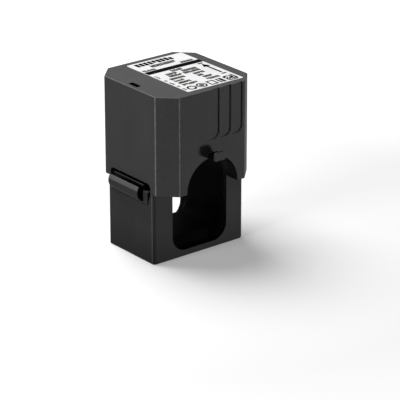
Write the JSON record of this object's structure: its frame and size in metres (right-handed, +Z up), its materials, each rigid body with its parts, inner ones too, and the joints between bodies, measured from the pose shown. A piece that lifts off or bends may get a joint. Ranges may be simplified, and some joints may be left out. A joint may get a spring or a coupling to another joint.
{
  "type": "current transformer",
  "caption": "Split-core current transformer that hinges open and closes around an insulated cable, with a finger latch, tie lugs and a captive-lead inlet.",
  "frame": {"origin": "centre of the flat underside of the jaw", "axes": "+Y along the cable towards the lead's inlet, +X across the cable from the latch to the hinge, +Z up towards the label"},
  "size_m": [0.0375, 0.0402, 0.0508],
  "materials": {
    "housing": "black fine-grained moulded plastic",
    "liner": "deep black moulded plastic",
    "core": "ground strip-wound steel",
    "spring_steel": "bright spring steel",
    "former": "natural moulded plastic",
    "copper_wire": "enamelled copper wire",
    "tape": "yellow polyester tape",
    "foam": "grey foam",
    "board": "green solder mask",
    "pin_metal": "tinned",
    "diode": "moulded body",
    "inlet_rubber": "soft black bush",
    "label": "printed white film"
  },
  "bodies": {
    "jaw": {"lower_housing": "housing", "jaw_saddle": "liner", "lower_core": "core", "core_spring": "spring_steel", "hinge_pin": "spring_steel"},
    "head": {"upper_housing": "housing", "window_cover": "liner", "upper_core": "core", "coil_former_front": "former", "coil_former_back": "former", "secondary_winding": "copper_wire", "winding_tape": "tape", "coil_pad": "foam", "circuit_board": "board", "terminal_pin_left": "pin_metal", "terminal_pin_right": "pin_metal", "suppressor_diode_left": "diode", "suppressor_diode_right": "diode", "lead_inlet": "inlet_rubber", "top_label": "label"}
  },
  "joints": [
    {"name": "jaw_hinge", "type": "hinge", "parent": "jaw", "child": "head", "pos_m": [0.0165, 0, 0.0214], "axis": [0, 1, 0], "range_deg": [0, 100]}
  ]
}
